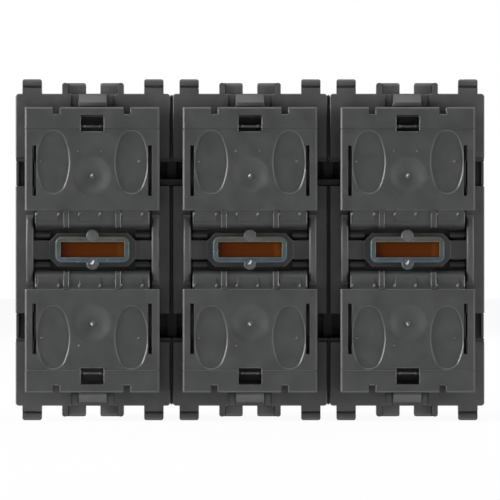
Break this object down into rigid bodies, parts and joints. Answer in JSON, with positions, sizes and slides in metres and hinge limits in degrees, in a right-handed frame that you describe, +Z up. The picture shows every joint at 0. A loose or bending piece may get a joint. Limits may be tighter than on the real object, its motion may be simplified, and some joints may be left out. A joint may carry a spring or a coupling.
{
  "type": "rocker push-button switch",
  "caption": "Push-button switch insert with a row of equal modules, each with an upper and a lower spring-returned button plate hinged at a cross bar with a light guide; caps not fitted.",
  "frame": {"origin": "centre of the seating plane, which is the rear face of the front flanges", "axes": "+X to the right as seen from the front, +Z up, -Y out of the front, +Y into the wall"},
  "size_m": [0.0672, 0.028, 0.049],
  "materials": {
    "frame_plastic": "fine moulded texture",
    "button_plastic": "fine moulded texture",
    "casing_plastic": "fine moulded texture",
    "guide_clear": "clear, polished",
    "window_amber": "tinted, polished",
    "lamp_body": "polished",
    "spring_steel": "rolled",
    "switch_body": "moulded",
    "plunger_plastic": "moulded",
    "board_laminate": "solder mask",
    "board_screw_steel": "zinc plated",
    "block_plastic": "moulded",
    "clamp_steel": "zinc plated",
    "contact_brass": "stamped",
    "terminal_screw_steel": "zinc plated"
  },
  "bodies": {
    "switch_body": {"rear_casing": "casing_plastic", "circuit_board": "board_laminate", "board_screws": "board_screw_steel", "terminal_block": "block_plastic", "terminal_clamps": "clamp_steel", "terminal_contacts": "contact_brass", "terminal_screws": "terminal_screw_steel", "front_frame_left": "frame_plastic", "light_guide_left": "guide_clear", "amber_window_left": "window_amber", "lamp_left": "lamp_body", "upper_spring_left": "spring_steel", "upper_switch_left": "switch_body", "lower_spring_left": "spring_steel", "lower_switch_left": "switch_body", "front_frame_middle": "frame_plastic", "light_guide_middle": "guide_clear", "amber_window_middle": "window_amber", "lamp_middle": "lamp_body", "upper_spring_middle": "spring_steel", "upper_switch_middle": "switch_body", "lower_spring_middle": "spring_steel", "lower_switch_middle": "switch_body", "front_frame_right": "frame_plastic", "light_guide_right": "guide_clear", "amber_window_right": "window_amber", "lamp_right": "lamp_body", "upper_spring_right": "spring_steel", "upper_switch_right": "switch_body", "lower_spring_right": "spring_steel", "lower_switch_right": "switch_body"},
    "upper_button_left": {"upper_button_left": "button_plastic"},
    "upper_plunger_left": {"upper_plunger_left": "plunger_plastic"},
    "lower_button_left": {"lower_button_left": "button_plastic"},
    "lower_plunger_left": {"lower_plunger_left": "plunger_plastic"},
    "upper_button_middle": {"upper_button_middle": "button_plastic"},
    "upper_plunger_middle": {"upper_plunger_middle": "plunger_plastic"},
    "lower_button_middle": {"lower_button_middle": "button_plastic"},
    "lower_plunger_middle": {"lower_plunger_middle": "plunger_plastic"},
    "upper_button_right": {"upper_button_right": "button_plastic"},
    "upper_plunger_right": {"upper_plunger_right": "plunger_plastic"},
    "lower_button_right": {"lower_button_right": "button_plastic"},
    "lower_plunger_right": {"lower_plunger_right": "plunger_plastic"}
  },
  "joints": [
    {"name": "upper_rock_left", "type": "hinge", "parent": "switch_body", "child": "upper_button_left", "pos_m": [-0.0225, -0.0019, 0.00215], "axis": [-1, 0, 0], "range_deg": [0, 3.5], "stiffness_Nm_per_rad": 0.25, "springref_deg": -3.44, "deforming": ["upper_spring_left"]},
    {"name": "upper_press_left", "type": "slide", "parent": "switch_body", "child": "upper_plunger_left", "axis": [0, 1, 0], "range_m": [0, 0.0007]},
    {"name": "lower_rock_left", "type": "hinge", "parent": "switch_body", "child": "lower_button_left", "pos_m": [-0.0225, -0.0019, -0.00215], "axis": [1, 0, 0], "range_deg": [0, 3.5], "stiffness_Nm_per_rad": 0.25, "springref_deg": -3.44, "deforming": ["lower_spring_left"]},
    {"name": "lower_press_left", "type": "slide", "parent": "switch_body", "child": "lower_plunger_left", "axis": [0, 1, 0], "range_m": [0, 0.0007]},
    {"name": "upper_rock_middle", "type": "hinge", "parent": "switch_body", "child": "upper_button_middle", "pos_m": [0, -0.0019, 0.00215], "axis": [-1, 0, 0], "range_deg": [0, 3.5], "stiffness_Nm_per_rad": 0.25, "springref_deg": -3.44, "deforming": ["upper_spring_middle"]},
    {"name": "upper_press_middle", "type": "slide", "parent": "switch_body", "child": "upper_plunger_middle", "axis": [0, 1, 0], "range_m": [0, 0.0007]},
    {"name": "lower_rock_middle", "type": "hinge", "parent": "switch_body", "child": "lower_button_middle", "pos_m": [0, -0.0019, -0.00215], "axis": [1, 0, 0], "range_deg": [0, 3.5], "stiffness_Nm_per_rad": 0.25, "springref_deg": -3.44, "deforming": ["lower_spring_middle"]},
    {"name": "lower_press_middle", "type": "slide", "parent": "switch_body", "child": "lower_plunger_middle", "axis": [0, 1, 0], "range_m": [0, 0.0007]},
    {"name": "upper_rock_right", "type": "hinge", "parent": "switch_body", "child": "upper_button_right", "pos_m": [0.0225, -0.0019, 0.00215], "axis": [-1, 0, 0], "range_deg": [0, 3.5], "stiffness_Nm_per_rad": 0.25, "springref_deg": -3.44, "deforming": ["upper_spring_right"]},
    {"name": "upper_press_right", "type": "slide", "parent": "switch_body", "child": "upper_plunger_right", "axis": [0, 1, 0], "range_m": [0, 0.0007]},
    {"name": "lower_rock_right", "type": "hinge", "parent": "switch_body", "child": "lower_button_right", "pos_m": [0.0225, -0.0019, -0.00215], "axis": [1, 0, 0], "range_deg": [0, 3.5], "stiffness_Nm_per_rad": 0.25, "springref_deg": -3.44, "deforming": ["lower_spring_right"]},
    {"name": "lower_press_right", "type": "slide", "parent": "switch_body", "child": "lower_plunger_right", "axis": [0, 1, 0], "range_m": [0, 0.0007]}
  ],
  "couplings": [
    {"joint": "upper_press_left", "follows": "upper_rock_left", "m_per_rad": 0.01035},
    {"joint": "lower_press_left", "follows": "lower_rock_left", "m_per_rad": 0.01035},
    {"joint": "upper_press_middle", "follows": "upper_rock_middle", "m_per_rad": 0.01035},
    {"joint": "lower_press_middle", "follows": "lower_rock_middle", "m_per_rad": 0.01035},
    {"joint": "upper_press_right", "follows": "upper_rock_right", "m_per_rad": 0.01035},
    {"joint": "lower_press_right", "follows": "lower_rock_right", "m_per_rad": 0.01035}
  ]
}
